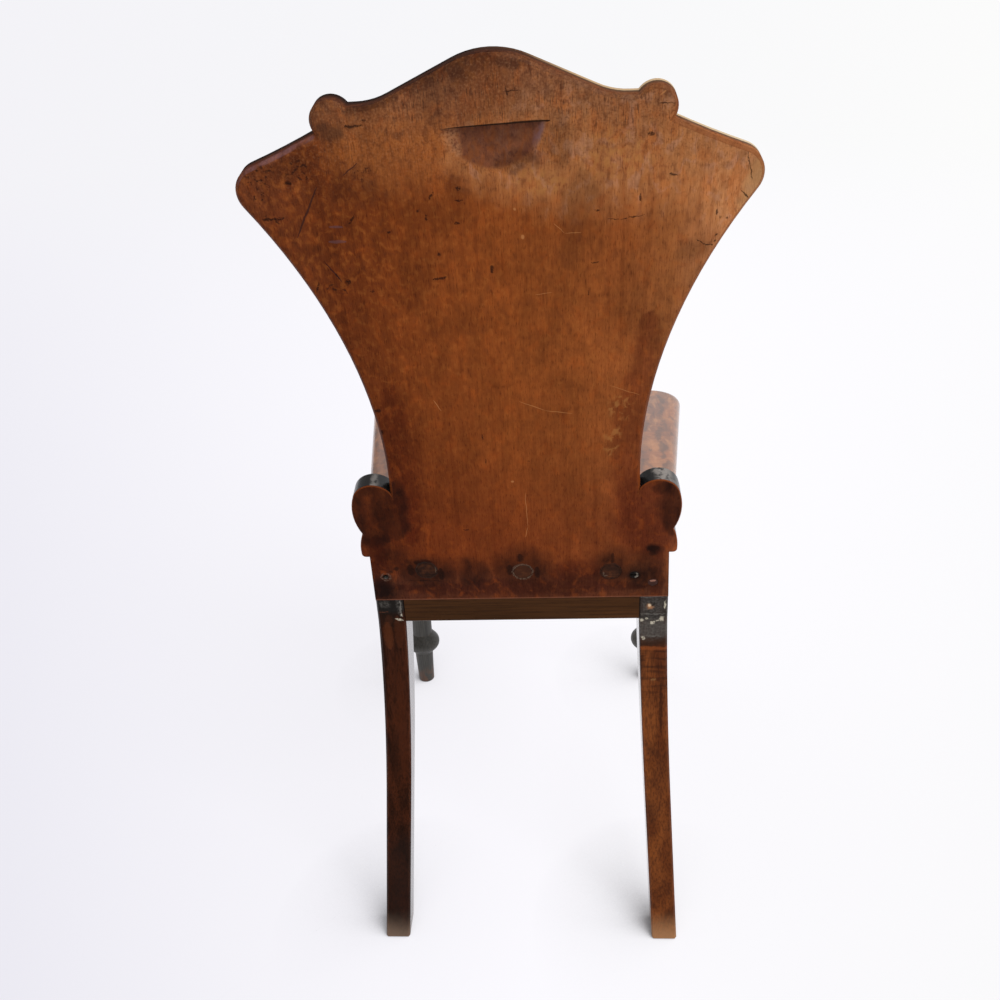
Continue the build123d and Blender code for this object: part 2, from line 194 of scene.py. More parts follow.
def grit(tree, place, scale, detail):
    """An even noise, as fine as its scale."""
    return add(tree, "TexNoise", {"Vector": place, "Scale": scale, "Detail": detail}).outputs[0]


def roughened(tree, place, scale, reach, detail=4.0):
    """Places pushed about by a noise, so that what is drawn there has ragged edges."""
    noise = add(tree, "TexNoise", {"Vector": place, "Scale": scale, "Detail": detail}).outputs["Color"]
    shift = add(tree, "VectorMath", {0: noise, 1: (0.5, 0.5, 0.5)}, operation="SUBTRACT").outputs[0]
    inputs = {0: shift, 1: (reach, reach, 0), 2: place}
    return add(tree, "VectorMath", inputs, operation="MULTIPLY_ADD").outputs[0]


rear_leg_looks = {
    "left_rear_leg": {
        "tones": ("160803", "2A1308", "48200C"),
        "dirt": (oval(-135, 362, 60, 33), "22201E"),
        "soot": oval(-135, 350, 40, 44),
        "smears_and_painted_light": (
            (oval(-140, 318, 9, 34), "6E3614", 0.38), (oval(-129, 322, 8, 40), "52260E", 0.5),
            (oval(-138, 337, 8, 12), "4E2612", 0.4), (oval(-133, 215, 9, 120), "4A200A", 0.5),
            ((-148, 347, -137, 347.5, 0.9), "6A3C28", 0.8),
            ((-124, 361, -124.5, 341, 1.6), "7A766E", 0.7),
            (oval(-133, 55, 60, 90), "1E1714", 0.6),
        ),
        "dust": (oval(-141, 357, 12, 9), oval(-125, 355, 6, 22)),
        "glue": ((-131, 339, -122, 336.5, 2.2), oval(-124, 343, 2.0, 3.0)),
        "rungs": 0.15,
        "foot": ("8A7462", 0.6),
    },
    "right_rear_leg": {
        "tones": ("2E1206", "602E10", "80441A"),
        "dirt": (oval(133, 352, 60, 44), "2C2A28"),
        "soot": oval(131, 322, 60, 42),
        "smears_and_painted_light": (
            # The long dark strip at 119 along the inner edge is painted shade. The nail hole is painted
            # too: black for the shade in it, and a pale splinter with a painted highlight.
            (oval(132, 322, 60, 22), "4A4642", 0.75), (oval(132, 307, 60, 9), "3A2418", 0.7),
            (oval(132, 299, 60, 4), "8A4416", 0.6), (oval(119, 250, 9, 150), "2A140A", 0.7),
            (oval(144, 232, 3, 60), "301709", 0.6), ((133, 261.5, 139, 262.5, 2.4), "8E6238", 0.6),
            (oval(131.2, 350.0, 7.5, 6.5), "BC8254", 0.85), (oval(134.0, 352.2, 6.5, 5.0), "1A100C", 0.95),
            (oval(130.2, 351.2, 2.6, 3.4), "E4C8A4", 0.8),
            ((120, 341, 147, 340.5, 1.2), "77736C", 0.6), ((120, 313.5, 147, 313.5, 0.9), "6E6A64", 0.6),
            ((119, 361.5, 147, 361.5, 1.2), "6E6A66", 0.5),
        ),
        "dust": (oval(132, 326, 40, 34), oval(134, 350, 30, 26)),
        "glue": (
            oval(143, 335, 5, 6), oval(134, 330, 5.5, 4), oval(123, 333.5, 4, 4), oval(124.7, 311.5, 4, 4),
            oval(146, 352, 2, 10), oval(128, 335, 3, 2), oval(139, 333, 4, 2),
        ),
        "rungs": 0.6,
        "foot": ("B98A60", 0.6),
    },
}
laid_flat = (-math.pi / 2, 0, 0)
rungs_start, rungs_end = 0.225, 0.265
foot_wear = 0.030
for leg, look in rear_leg_looks.items():
    tree, place = finish_for(leg + "_polish", leg)
    dark, middle, light = look["tones"]
    colour, streaks = grained(tree, place, "Z", dark, middle, light, strength=0.45)
    cloud = figure(tree, place, 0.025, 0.05, "Z", detail=4.0, waver=0.8)
    colour = laid(tree, colour, fade(tree, cloud, 0.52, 0.72), 0.45, dark)
    worn = both(tree, arris(tree, 0.004), fade(tree, cloud, 0.35, 0.65))
    colour = laid(tree, colour, worn, 0.4, "8A5030")
    flat = add(tree, "Mapping", {"Vector": place, "Rotation": laid_flat, "Scale": (-1, 0, 1)}).outputs[0]
    ragged = roughened(tree, flat, scale=160.0, reach=0.006, detail=3.0)
    crusty = roughened(tree, flat, scale=340.0, reach=0.004, detail=2.0)
    height = add(tree, "SeparateXYZ", {0: ragged}).outputs["Y"]
    rungs = fade(tree, figure(tree, flat, 0.0045, 0.030, "X", detail=4.0, waver=0.4), 0.46, 0.60)
    rungs = both(tree, rungs, fade(tree, height, rungs_start, rungs_end))
    colour = laid(tree, colour, rungs, look["rungs"], "371A0B")
    foot_colour, foot_amount = look["foot"]
    colour = laid(tree, colour, fade(tree, height, foot_wear, 0.0), foot_amount, foot_colour)
    colour = laid(tree, colour, patch(tree, ragged, *look["soot"], soft=0.7), 0.75, "241811")
    dirt_place, dirt_colour = look["dirt"]
    colour = laid(tree, colour, patch(tree, ragged, *dirt_place, soft=0.3), 0.88, dirt_colour)
    # Each leg's smears are laid in turn, and the painted shade and highlights are laid among them.
    for daub, daub_colour, amount in look["smears_and_painted_light"]:
        colour = laid(tree, colour, patch(tree, crusty, *daub, soft=1.0), amount, daub_colour)
    crumbs = grit(tree, flat, scale=420.0, detail=4.0)
    dust = both(tree, gathered(tree, ragged, look["dust"], soft=0.9), fade(tree, crumbs, 0.30, 0.74))
    colour = laid(tree, colour, dust, 0.42, "726D66")
    crust = both(tree, gathered(tree, crusty, look["glue"], soft=0.6), fade(tree, crumbs, 0.28, 0.50))
    colour = laid(tree, colour, crust, 0.85, "C6BDA8")
    roughness = spread(tree, cloud, 0.28, 0.45)
    sideways = add(tree, "SeparateXYZ", {0: add(tree, "TexCoord").outputs["Normal"]}).outputs["X"]
    cheek = fade(tree, reckon(tree, "ABSOLUTE", sideways), 0.94, 0.99)
    coat = spread(tree, cheek, 0.05, 0.9)
    polish(tree, colour, streaks, roughness, coat, coat_roughness=0.08, shine=0.2)

# The four seat rails: straight mahogany boards tenoned into the legs, stained
# dark and left with a satin polish.

for way, along, rails in (
    ("across", "X", ("front_rail", "rear_rail")),
    ("lengthwise", "Y", ("left_side_rail", "right_side_rail")),
):
    tree, place = finish_for("rail_polish_" + way, *rails)
    colour, streaks = grained(tree, place, along, "1C0E06", "43270F", "543216", strength=0.35)
    polish(tree, colour, streaks, roughness=0.40, coat=0.1, coat_roughness=0.25, shine=0.15)

# The corner blocks: rough softwood sawn three-cornered and glued into the angles
# of the seat frame, never polished and grey with age.

tree, place = finish_for(
    "raw_block_wood", "front_left_corner_block", "front_right_corner_block",
    "rear_left_corner_block", "rear_right_corner_block")
colour, streaks = grained(tree, place, "Z", "4A3420", "7C5B3B", "94714A")
polish(tree, colour, streaks, roughness=0.75, coat=0.0, coat_roughness=0.5, shine=0.3, lift=0.0006)

# The plank seat: one wide mahogany board with its grain across the chair and a
# dark mottle over it. Its top is rounded over at the edge and kept glossy by use
# and wax.

tree, place = finish_for("waxed_seat", "seat_board")
# The pale orange ground is partly painted sheen of the waxed top.
colour, streaks = grained(tree, place, "X", "6A3A24", "A2633A", "BE7C48", strength=0.18)
blotches = figure(tree, place, 0.024, 0.055, "Y", detail=4.0, waver=0.6)
colour = laid(tree, colour, fade(tree, blotches, 0.36, 0.60), 0.66, "6A4434")
flames = figure(tree, place, 0.011, 0.026, "Y", detail=4.0, waver=0.5)
colour = laid(tree, colour, fade(tree, flames, 0.48, 0.64), 0.60, "56392C")
colour = laid(tree, colour, fade(tree, flames, 0.44, 0.30), 0.46, "C88A58")
# The edges are drawn lighter: partly wear, partly painted highlight.
colour = laid(tree, colour, arris(tree, 0.006), 0.55, "C4844E")
polish(tree, colour, streaks, roughness=0.30, coat=0.7, coat_roughness=0.14)

# The back board: one plank of mahogany with its grain upright, sawn to ears,
# volutes and scrolls. Its rear face has its first thin polish, lighter at the crest
# and lighter to the right as painted sheen from the lamp, with painted shade and
# highlights along its edges and in its grip, black stains along the foot and the
# knocks of use.

recline = math.radians(12)
board_axes = Matrix((
    (-1, 0, 0),
    (0, math.sin(recline), math.cos(recline)),
    (0, math.cos(recline), -math.sin(recline)),
)).transposed()
board_foot = (0, 0.12775, 0.362)
board_turn = list(board_axes.to_euler())


def on_rear_face(tree, place):
    """Places from the foot of the board: across to the right, up, and out of its rear face."""
    inputs = {"Vector": place, "Location": board_foot, "Rotation": board_turn}
    return add(tree, "Mapping", inputs, vector_type="TEXTURE").outputs[0]


def ring(tree, place, across, up, radius, width):
    """A thin circle on the rear face, in millimetres."""
    off = reckon(tree, "SUBTRACT", from_point(tree, place, across, up), radius * mm)
    off = reckon(tree, "ABSOLUTE", off)
    return fade(tree, off, width * mm, width * mm / 4)


def toned(tree, value, stops):
    """A colour that passes through the given stops as a value rises."""
    made = add(tree, "ValToRGB", {0: value})
    ramp = made.color_ramp.elements
    while len(ramp) < len(stops):
        ramp.new(0.5)
    for step, (position, colour) in zip(ramp, stops):
        step.position = position
        step.color = shade(colour)
    return made.outputs[0]


tree, place = finish_for("old_back_polish", "back_board")
place = on_rear_face(tree, place)
parts = add(tree, "SeparateXYZ", {0: place})
up, depth = parts.outputs["Y"], parts.outputs["Z"]
cloud = figure(tree, place, 0.05, 0.09, "Y", detail=5.0, waver=0.6)
mottle = figure(tree, place, 0.012, 0.022, "Y", detail=4.0, waver=0.4)
speckle = grit(tree, place, scale=600.0, detail=3.0)
uneven = roughened(tree, place, scale=55.0, reach=0.015, detail=2.0)
jagged = roughened(tree, place, scale=300.0, reach=0.0035, detail=3.0)
drift = add(tree, "SeparateXYZ", {0: uneven})
drift_across, drift_up = drift.outputs["X"], drift.outputs["Y"]

# The ground colour is darkest at the left, palest at the right ear and redder below; the rise to the right
# and the paler upper right are partly painted sheen from the lamp at the right.
half_width = 0.19
width_share = spread(tree, drift_across, 0.0, 1.0, start=-half_width, end=half_width)
colour = toned(tree, width_share, (
    (0.00, "6E381C"), (0.16, "6A3110"), (0.27, "753812"), (0.42, "834218"), (0.50, "89461A"),
    (0.66, "89491E"), (0.76, "904F24"), (0.85, "9A5C30"), (0.93, "AC7046"), (1.00, "C08A5E"),
))
sheen_and_pale = gathered(tree, uneven, (oval(90, 454, 250, 84), oval(170, 425, 40, 70)), soft=1.0)
colour = laid(tree, colour, sheen_and_pale, 0.62, "BE804E")
colour = laid(tree, colour, patch(tree, uneven, *oval(-74, 468, 90, 70), soft=1.0), 0.55, "B06A36")
crest = both(tree, fade(tree, drift_up, 0.46, 0.50), fade(tree, cloud, 0.05, 0.50))
colour = laid(tree, colour, crest, 0.60, "865C40")
# Painted shade darkens the face along the rounded top edge of the crest.
crest_edge_shade = gathered(tree, uneven, (
    (-64, 500, -33, 513, 13), (-33, 513, 2, 520, 15), (2, 521, 30, 514, 8), (-102, 491, -66, 497, 14),
), soft=1.0)
colour = laid(tree, colour, crest_edge_shade, 0.62, "42241A")
# A painted highlight lightens the face along the upper edge of the left ear.
ear_edge_highlight = gathered(tree, uneven, ((-180, 449, -155, 461, 8), (-155, 461, -128, 471, 8)), soft=1.0)
colour = laid(tree, colour, ear_edge_highlight, 0.60, "94583A")
colour = laid(tree, colour, fade(tree, drift_up, 0.22, 0.07), 1.0, "ECDCDF", "MULTIPLY")
colour = laid(tree, colour, fade(tree, drift_up, 0.058, 0.018), 0.78, "4A281B")
# Painted shade darkens the lower board along its sides and beside the right scroll; the same mask darkens
# the foot and holds one mild stain right of the middle pellet.
shade_and_stain = gathered(tree, uneven, (
    oval(108, 185, 36, 170), oval(130, 106, 70, 110), oval(-102, 170, 28, 190), oval(116, 265, 24, 120),
    oval(60, 34, 60, 34), oval(0, 16, 260, 20), oval(-138, 46, 18, 90), oval(136, 30, 14, 70),
), soft=1.0)
colour = laid(tree, colour, shade_and_stain, 0.75, "C4A8A8", "MULTIPLY")
shade_beside_scroll = patch(tree, uneven, *oval(130, 112, 62, 120), soft=1.0)
colour = laid(tree, colour, shade_beside_scroll, 0.60, "B8989A", "MULTIPLY")
blush = figure(tree, place, 0.010, 0.015, "Y", detail=3.0, waver=0.5)
colour = laid(tree, colour, fade(tree, blush, 0.50, 0.72), 0.30, "9C4A16")
colour = laid(tree, colour, both(tree, sheen_and_pale, fade(tree, mottle, 0.50, 0.64)), 0.42, "A65A26")
colour = laid(tree, colour, both(tree, sheen_and_pale, fade(tree, blush, 0.48, 0.34)), 0.36, "B88A6E")
dapple = figure(tree, place, 0.0050, 0.0065, "Y", detail=4.0, waver=0.5)
calm = spread(tree, up, 0.25, 1.0, start=0.12, end=0.36)
colour = laid(tree, colour, both(tree, fade(tree, dapple, 0.48, 0.74), calm), 0.26, "AA662E")
colour = laid(tree, colour, both(tree, fade(tree, dapple, 0.52, 0.26), calm), 0.32, "66341A")
old_ear = both(tree, fade(tree, drift_across, -0.045, -0.105), fade(tree, drift_up, 0.31, 0.38))
colour = laid(tree, colour, both(tree, old_ear, fade(tree, dapple, 0.46, 0.78)), 0.16, "A4581E")
colour = laid(tree, colour, both(tree, old_ear, fade(tree, dapple, 0.54, 0.22)), 0.26, "3E1E10")
for tone, least, most in ((cloud, 0.82, 1.18), (mottle, 0.86, 1.14)):
    colour = tint(tree, 1.0, colour, spread(tree, tone, least, most, start=0.3, end=0.7), "MULTIPLY")

# The grain runs upright in streaks and ribbons, and its pores are open at the crest.
streaks = figure(tree, place, 0.0014, 0.030, "Y", detail=5.0, waver=0.3)
colour = laid(tree, colour, fade(tree, streaks, 0.56, 0.36), 0.22, "B4968A", "MULTIPLY")
ribbons = figure(tree, place, 0.009, 0.30, "Y", detail=2.0, waver=0.3)
colour = laid(tree, colour, fade(tree, ribbons, 0.52, 0.70), 0.30, "C9B3A6", "MULTIPLY")
pores = fade(tree, figure(tree, place, 0.0008, 0.006, "Y", detail=2.0), 0.56, 0.70)
colour = laid(tree, colour, pores, 0.50, "8E7262", "MULTIPLY")
flecks = figure(tree, place, 0.0045, 0.0100, "Y", detail=4.0, waver=0.5)
colour = laid(tree, colour, both(tree, fade(tree, flecks, 0.50, 0.75), calm), 0.12, "B4662A")
colour = laid(tree, colour, fade(tree, flecks, 0.50, 0.25), 0.24, "A8887A", "MULTIPLY")
open_grain = fade(tree, figure(tree, place, 0.0007, 0.009, "Y", detail=3.0), 0.50, 0.68)
upper = fade(tree, drift_up, 0.40, 0.49)
open_grain = both(tree, open_grain, upper, fade(tree, mottle, 0.36, 0.60))
colour = laid(tree, colour, open_grain, 0.75, "42281B")
grime = both(tree, fade(tree, dapple, 0.58, 0.26), upper, fade(tree, cloud, 0.36, 0.62))
colour = laid(tree, colour, grime, 0.52, "4A2416")
colour = laid(tree, colour, both(tree, fade(tree, speckle, 0.48, 0.30), upper), 0.50, "54301C")
colour = laid(tree, colour, both(tree, fade(tree, speckle, 0.48, 0.76), upper), 0.26, "B0805A")

# Black stains gather round the fastenings and scrolls, and smudges and bare places lie above.
stains = gathered(tree, uneven, (
    oval(-92, 40, 60, 42), oval(4, 46, 58, 46), oval(92, 42, 44, 48), oval(-45, 38, 32, 42),
    oval(115, 31, 34, 34), oval(-138, 15, 40, 40), oval(131, 64, 18, 15),
    oval(-114, 120, 26, 76), oval(-154, 120, 28, 76), oval(-142, 142, 44, 14), oval(-137, 86, 30, 26),
    oval(149, 118, 26, 66), oval(140, 142, 24, 16), oval(-124, 60, 40, 40), oval(-98, 50, 40, 20),
    oval(-126, 116, 26, 76), oval(122, 36, 40, 50),
), soft=1.0)
blotchy = spread(tree, mottle, 0.50, 1.15, start=0.3, end=0.7)
colour = laid(tree, colour, both(tree, stains, blotchy), 0.78, "1D0D09")
blots = gathered(tree, jagged, (
    oval(2, 56, 6, 12), oval(92, 54, 4, 14), oval(131, 66, 13, 9), oval(131, 61, 8, 10),
    oval(-143, 14, 28, 30), oval(-138, 8, 22, 22), (-116, 28, -72, 26, 0.8), oval(-108, 42, 7, 16),
    oval(114.5, 30.6, 17, 17), oval(114.5, 30.6, 14, 14), oval(-122, 44, 5, 6), oval(-128, 40, 4, 4),
    oval(-95, 52, 18, 8), oval(-78, 36, 7, 16), oval(-9, 40, 7, 14), oval(18, 36, 6, 16),
), soft=0.8)
colour = laid(tree, colour, blots, 0.62, "120B09")
smudges = gathered(tree, uneven, (
    oval(-104, 434, 40, 26), oval(-96, 444, 20, 16), oval(149, 374, 24, 18), oval(48, 462, 22, 36),
    (66, 436, 52, 366, 26), oval(-150, 450, 26, 14), oval(131, 46, 7, 36), oval(-32, 508, 30, 26),
    oval(-40, 494, 22, 40), oval(-90, 494, 26, 12), oval(-28, 430, 18, 16), oval(24, 446, 14, 10),
    oval(190, 437, 12, 26),
), soft=1.0)
colour = laid(tree, colour, both(tree, smudges, blotchy), 0.32, "2E160C")
pale = gathered(tree, uneven, (
    oval(95, 231, 20, 26), oval(89, 197, 14, 34), oval(88, 450, 50, 36), oval(30, 432, 40, 20),
), soft=1.0)
pale = both(tree, pale, fade(tree, dapple, 0.46, 0.64))
colour = laid(tree, colour, pale, 0.40, "B07A42")
bare = gathered(tree, uneven, (oval(190, 424, 16, 36), oval(184, 410, 12, 20)), soft=1.0)
colour = laid(tree, colour, bare, 0.40, "BE8E5C")
volute_smudge = gathered(tree, jagged, (oval(-115, 474, 17, 12), oval(-120, 478, 12, 9)), soft=0.9)
colour = laid(tree, colour, volute_smudge, 0.60, "42291C")

# Knocks, spilt ink, scores, dents and scratches are the marks of use.
knocks = gathered(tree, jagged, (
    (-106, 478.5, -92, 478, 1.8), oval(-91, 482, 3, 2), oval(-154, 439, 6, 3), (-179, 412, -164, 411, 2.0),
    (-113, 406, -108, 412, 1.8), oval(-84, 398, 3, 2), oval(-47, 378, 3, 3.5),
    oval(-7, 364, 3, 7), (-54, 357, -43, 359, 2.2), oval(-121, 358, 5, 3.5),
    (-137, 375, -126, 358, 1.0), (-144, 359, -148, 349, 1.4),
    oval(-28, 430, 4, 3), (-51, 422, -46, 428, 1.6), oval(-28, 421, 6, 1.2),
    oval(-60, 414, 2.5, 2.5), oval(-54, 408, 2, 5), oval(-31, 403, 4, 2.2), oval(-103, 349, 4, 1.8),
    (116, 485, 128, 484, 0.9), (181, 449, 186, 428, 1.0),
    (126, 435, 132, 433, 2.0), oval(106, 418, 1.6, 6), oval(112, 464, 5, 3),
    oval(74, 409, 3.5, 2.5), (82, 402, 91, 401, 0.8), (91, 401, 110, 404, 0.8),
    (179, 420, 186, 413, 1.2), oval(166, 400, 2.0, 2.0), oval(171, 399, 1.8, 1.8),
    oval(163, 404, 1.3, 5), oval(164, 386, 2.2, 2.2), oval(163, 381, 2.2, 2.6),
    (150, 383, 155, 379, 1.0), (155, 379, 163, 378, 1.0), oval(73, 367, 6, 1.3),
    oval(68, 341, 1.3, 5), (9, 497, 21, 497.5, 0.8), (10, 500, 12, 494, 1.2),
    oval(-115, 234, 6, 4), oval(-114, 211, 3, 5),
    oval(-25, 203, 1.4, 6), oval(-24, 176, 1.0, 6), oval(15, 175, 1.8, 1.8), oval(-48, 94, 6, 1.3),
), soft=0.9)
knocks = both(tree, knocks, fade(tree, speckle, 0.32, 0.50))
colour = laid(tree, colour, knocks, 0.80, "1A0C08")
crumbs = grit(tree, place, scale=300.0, detail=4.0)
ink = gathered(tree, jagged, (
    oval(-147, 450, 22, 14), oval(-142, 446, 14, 16), oval(-176, 441, 20, 16), oval(-178, 430, 16, 10),
    oval(-172, 411, 26, 7), oval(-97, 444, 18, 12), oval(-170, 450, 22, 6), oval(-130, 352, 20, 10),
), soft=0.9)
ink = both(tree, ink, fade(tree, crumbs, 0.48, 0.34))
colour = laid(tree, colour, ink, 0.80, "20120E")
scored = roughened(tree, place, scale=90.0, reach=0.002, detail=2.0)
scores = gathered(tree, scored, (
    (-132.4, 436, -155, 396, 1.5), (-137, 375, -126, 358, 1.0), (-112, 443, -100, 452, 1.0),
), soft=0.8)
colour = laid(tree, colour, scores, 0.75, "2E1C1A")
# The dents are drawn as purple-grey strips: painted sheen where light catches them.
sheen_in_dents = gathered(tree, scored, ((-129, 404, -118, 403.5, 2.0), (-131, 391.7, -117.5, 391.3, 2.8)))
colour = laid(tree, colour, sheen_in_dents, 0.55, "5E4244")
scratches = gathered(tree, scored, (
    (-65, 244, -59, 232, 0.8), (9, 240, 31, 230, 0.6), (31, 230, 55, 226, 0.6),
    (86, 254, 112, 243, 0.5), oval(-1, 152, 3.0, 2.2), (10, 139, 11, 96, 0.6),
    (11, 96, 8, 83, 0.6), oval(18, 390, 3, 4), (42, 400, 50, 392, 0.5),
    (50, 392, 63, 392, 0.5), oval(13, 412, 2, 2.5), (26, 341, 40, 343, 0.5), (117, 490, 121, 493, 1.2),
))
colour = laid(tree, colour, scratches, 0.60, "B97C48")

# Each pellet sits in a ring of wear, and the empty hole at the left corner has a pale ring of painted
# glint.
left_pellet, middle_pellet, right_pellet = (-92.0, 41.5), (3.7, 37.2), (90.6, 35.8)
pellet_rim = 10.4
empty_hole, hole_rim = (-134, 33), 4.6
worn_pellet = ring(tree, jagged, *middle_pellet, radius=pellet_rim, width=0.8)
pellet_wear_and_hole_glint = reckon(tree, "MAXIMUM", worn_pellet, ring(tree, jagged, *empty_hole, radius=hole_rim, width=1.6))
colour = laid(tree, colour, both(tree, pellet_wear_and_hole_glint, fade(tree, speckle, 0.35, 0.60)), 0.40, "7E6858")
colour = laid(tree, colour, ring(tree, jagged, *left_pellet, radius=pellet_rim, width=1.2), 0.6, "2C2824")
colour = laid(tree, colour, ring(tree, jagged, *right_pellet, radius=pellet_rim, width=1.2), 0.5, "2A1C16")
colour = laid(tree, colour, fade(tree, up, 0.0020, 0.0006), 0.45, "9A6048")

# The finger grip is darker and redder inside, the darkening painted shade in the hollow, with a painted
# sheen on its right wall and a black line of painted shadow along its straight upper edge.
normal = add(tree, "TexCoord").outputs["Normal"]
facing = agreeing(tree, normal, board_axes.col[2])
scoop = both(tree, fade(tree, depth, -0.0004, -0.0020), fade(tree, facing, 0.78, 0.88))
colour = laid(tree, colour, scoop, 0.72, "573026")
hollow = both(tree, scoop, fade(tree, flecks, 0.46, 0.64))
colour = laid(tree, colour, hollow, 0.42, "84461C")
colour = laid(tree, colour, both(tree, scoop, fade(tree, dapple, 0.52, 0.74)), 0.40, "96583A")
colour = laid(tree, colour, both(tree, scoop, fade(tree, dapple, 0.48, 0.28)), 0.45, "3C2018")
# Painted shade carries the hollow a little past its cut at the lower right.
colour = laid(tree, colour, patch(tree, uneven, *oval(28, 453, 15, 16), soft=1.0), 0.50, "573026")
rubbed = gathered(tree, jagged, (oval(-30, 467, 13, 15), oval(-26, 459, 8, 12)), soft=1.0)
colour = laid(tree, colour, both(tree, rubbed, fade(tree, speckle, 0.22, 0.62)), 0.50, "BE8458")
grip_floor = gathered(tree, uneven, (oval(11, 446, 16, 11), oval(18, 452, 22, 8)), soft=1.0)
colour = laid(tree, colour, grip_floor, 0.38, "331A10")
sheen = gathered(tree, place, ((41, 475, 33, 455, 14), (40, 474, 37, 464, 8)), soft=1.0)
sheen = both(tree, sheen, fade(tree, depth, 0.0, -0.0012))
colour = laid(tree, colour, both(tree, sheen, fade(tree, dapple, 0.24, 0.60)), 0.66, "6C565E")
shadow_under_grip_edge = gathered(tree, place, ((-34, 473.5, 41, 476.4, 1.8), (5, 475.0, 41, 476.0, 2.6)), soft=0.5)
colour = laid(tree, colour, shadow_under_grip_edge, 0.9, "0E0806")

# The sawn edges carry painted light: shade dark on the left and where they face away from above, a cream
# highlight on the upward faces at the right, and black round the scrolls.
wall = both(tree, fade(tree, facing, 0.62, 0.50), fade(tree, facing, -0.62, -0.50))
scroll_top, scroll_blend = 0.158, 0.014
at_scrolls = fade(tree, up, scroll_top + scroll_blend, scroll_top)
wall_colour = toned(tree, width_share, (
    (0.00, "2A160D"), (0.45, "241209"), (0.56, "5C3A22"),
    (0.66, "C4A27A"), (0.90, "D8BC96"), (1.00, "E0C8A6"),
))
facing_up = agreeing(tree, normal, board_axes.col[1])
wall_colour = tint(tree, fade(tree, facing_up, 0.10, 0.45), shade("3A2012"), wall_colour)
wall_colour = laid(tree, wall_colour, fade(tree, depth, -0.0128, -0.0110), 0.90, "3A1F14")
edge_tone = toned(tree, width_share, (
    (0.00, "D8C8C8"), (0.24, "CCBAB6"), (0.34, "A8968C"),
    (0.50, "A8988C"), (0.62, "E0D0C4"), (1.00, "F4E6D8"),
))
near_colour = tint(tree, 1.0, colour, edge_tone, "MULTIPLY")
wall_colour = tint(tree, fade(tree, depth, -0.0120, -0.0050), wall_colour, near_colour)
wall_colour = laid(tree, wall_colour, at_scrolls, 1.0, "15110F")
colour = tint(tree, wall, colour, wall_colour)

# The front face is plain, with an even polish. The rounded rear arrises are painted darker as shade, with
# a painted highlight in orange along the right.
front = fade(tree, facing, -0.50, -0.80)
front_colour = tint(tree, fade(tree, ribbons, 0.30, 0.70), shade("68331A"), shade("7C4022"))
front_colour = laid(tree, front_colour, fade(tree, streaks, 0.58, 0.30), 0.35, "4E2412")
colour = tint(tree, front, colour, front_colour)
rim = both(tree, fade(tree, facing, 0.60, 0.68), fade(tree, facing, 0.90, 0.80))
colour = laid(tree, colour, rim, 0.22, "3A1C10")
colour = laid(tree, colour, both(tree, rim, fade(tree, drift_across, 0.10, 0.15)), 0.50, "8A4A20")
# A purple painted reflection runs along the rim of the left ear.
ear_rim_reflection = gathered(tree, uneven, ((-190, 438, -178, 452, 12), (-178, 452, -128, 473, 12)), soft=0.8)
ear_rim_reflection = both(tree, ear_rim_reflection, fade(tree, facing, 0.97, 0.80), fade(tree, depth, -0.0060, -0.0020))
ear_rim_reflection = both(tree, ear_rim_reflection, fade(tree, mottle, 0.25, 0.65))
colour = laid(tree, colour, ear_rim_reflection, 0.34, "92707A")
# The tops of the scroll faces are lighter along the rim: partly wear, partly painted highlight.
scroll_rim_wear_and_highlight = both(tree, fade(tree, facing, 0.97, 0.75), fade(tree, facing, 0.45, 0.60), at_scrolls)
colour = laid(tree, colour, scroll_rim_wear_and_highlight, 0.45, "8A441C")
low_wall = both(tree, wall, at_scrolls)
# Pale bands on the black scroll walls are painted reflections of the bright room.
scroll_sheen_bands = ((-0.131, 0.006, 0.55), (0.137, 0.012, 0.75))
for across, reach, amount in scroll_sheen_bands:
    off = reckon(tree, "ABSOLUTE", reckon(tree, "SUBTRACT", drift_across, across))
    sheen_band = both(tree, fade(tree, off, reach, reach / 4), fade(tree, dapple, 0.30, 0.55))
    colour = laid(tree, colour, both(tree, low_wall, sheen_band), amount, "9A928A")
crest_wall = both(tree, wall, fade(tree, up, 0.20, 0.30))
roughness = spread(tree, cloud, 0.36, 0.55)
roughness = add(tree, "Math", {0: crest_wall, 1: 0.35, 2: roughness}, operation="MULTIPLY_ADD").outputs[0]
coat = reckon(tree, "MULTIPLY", low_wall, 0.7)
polish(tree, colour, streaks, roughness, coat, coat_roughness=0.22, shine=0.06, rounding=0.003)

# The fastenings of the back: three screws sunk under turned wooden pellets, one
# bare slotted screw added as a repair, and a small plug at the right corner.

tree, place = finish_for("dark_pellet_wood", "left_pellet", "middle_pellet", "right_pellet")
colour, streaks = grained(tree, place, "X", "2E170D", "502A16", "5E331A", strength=0.4)
flat = on_rear_face(tree, place)
jagged = roughened(tree, flat, scale=260.0, reach=0.003)
crumbs = grit(tree, flat, scale=500.0, detail=3.0)
blotches = grit(tree, flat, scale=160.0, detail=4.0)
stain_width = 34
for pellet, stain_colour, amount in (
    (left_pellet, "241611", 0.85), (middle_pellet, "331A10", 0.6), (right_pellet, "2A1912", 0.8),
):
    stain = patch(tree, jagged, *oval(*pellet, stain_width, stain_width), soft=0.6)
    stain = both(tree, stain, fade(tree, blotches, 0.80, 0.34))
    colour = laid(tree, colour, stain, amount, stain_colour)
    colour = laid(tree, colour, ring(tree, jagged, *pellet, radius=9.0, width=1.4), 0.45, "1A100C")
arc = both(tree, ring(tree, jagged, *middle_pellet, radius=9.6, width=1.0), fade(tree, crumbs, 0.35, 0.55))
colour = laid(tree, colour, arc, 0.4, "8A7460")
chips = gathered(tree, jagged, (oval(83.5, 33, 1.6, 5), oval(86, 30, 4, 1.6), (-83.5, 46, -82.8, 38, 1.2)))
